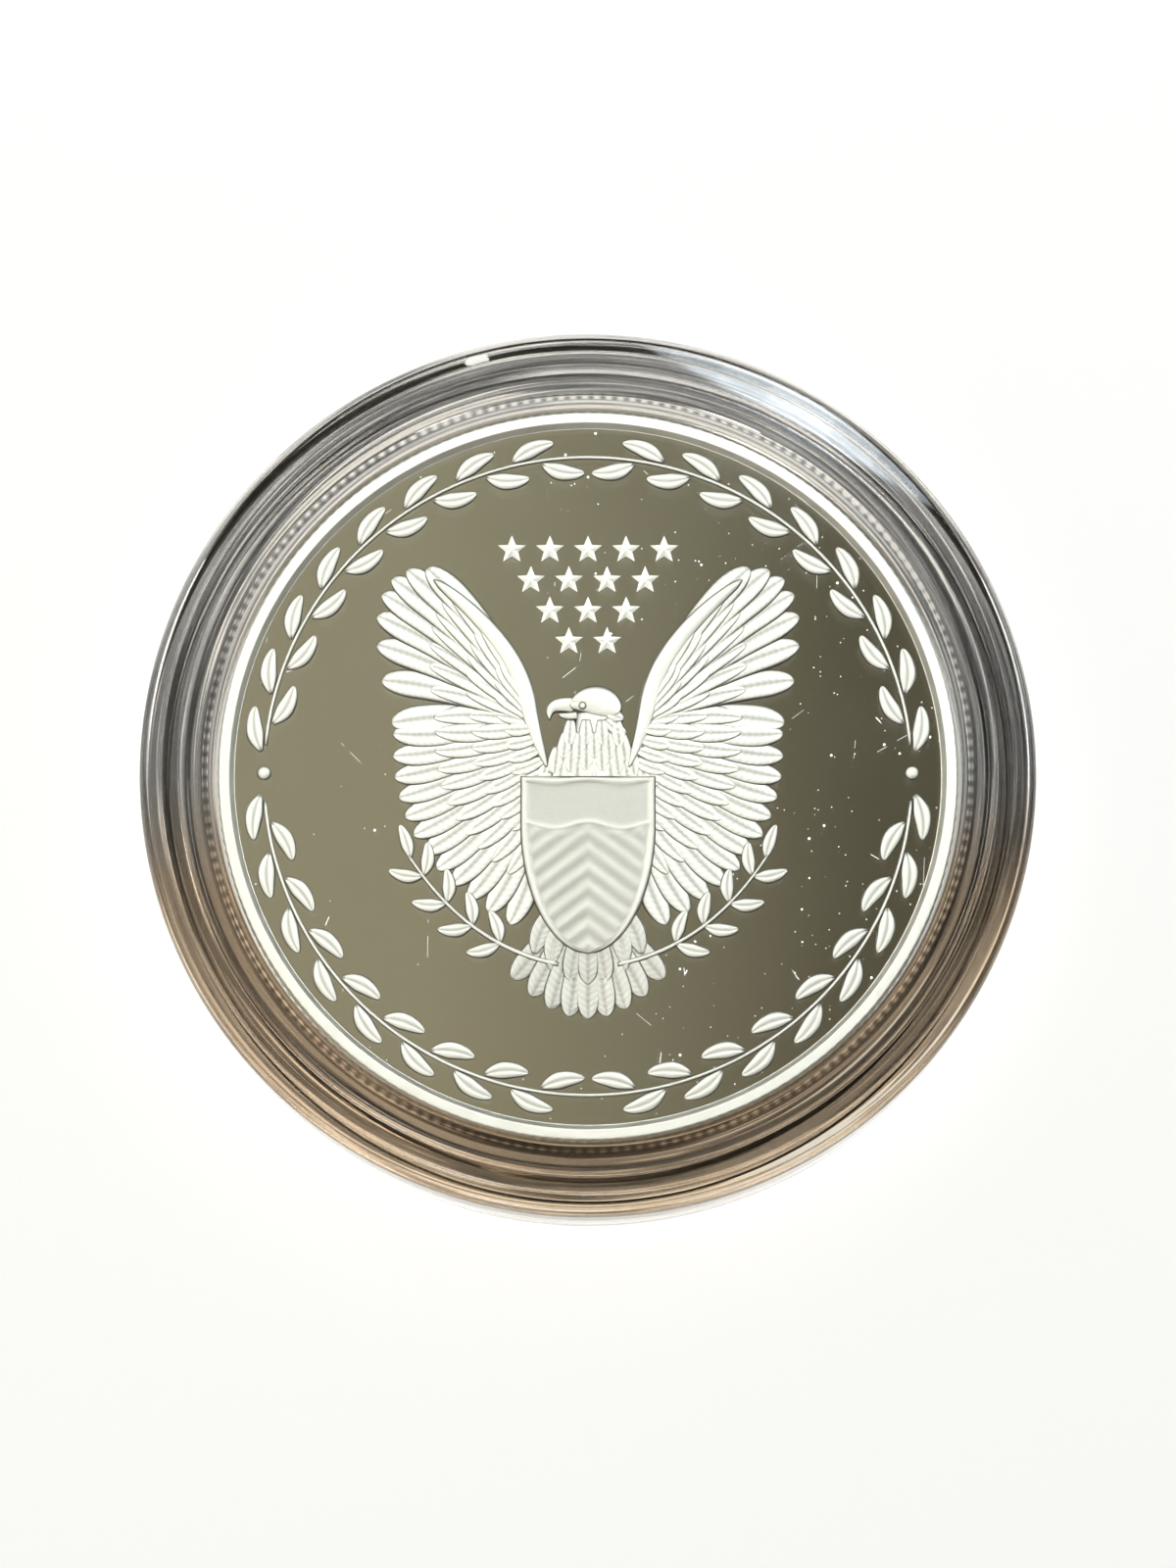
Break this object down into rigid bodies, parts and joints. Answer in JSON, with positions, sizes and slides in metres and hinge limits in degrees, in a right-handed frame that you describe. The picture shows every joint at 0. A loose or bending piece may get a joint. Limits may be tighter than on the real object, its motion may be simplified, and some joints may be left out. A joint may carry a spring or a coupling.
{
  "type": "coin capsule",
  "caption": "Round clear two-part capsule whose base seats one large struck coin under a press-on lid, with raised guard rings on both faces.",
  "frame": {"origin": "centre of the ground plane under the base's guard ring, on the capsule's axis", "axes": "+Z along the capsule's axis from the base to the lid, +Y towards the top of the coin's upper design"},
  "size_m": [0.049, 0.049, 0.0067],
  "materials": {
    "clear_plastic": "clear moulded plastic, polished",
    "struck_silver": "struck silver with mirror fields and frosted devices"
  },
  "bodies": {
    "base": {"base_shell": "clear_plastic"},
    "coin": {"coin": "struck_silver"},
    "lid": {"lid_shell": "clear_plastic"}
  },
  "joints": [
    {"name": "coin_lift", "type": "slide", "parent": "base", "child": "coin", "axis": [0, 0, 1], "range_m": [0, 0.012]},
    {"name": "lid_lift", "type": "slide", "parent": "coin", "child": "lid", "axis": [0, 0, 1], "range_m": [0, 0.02]}
  ]
}
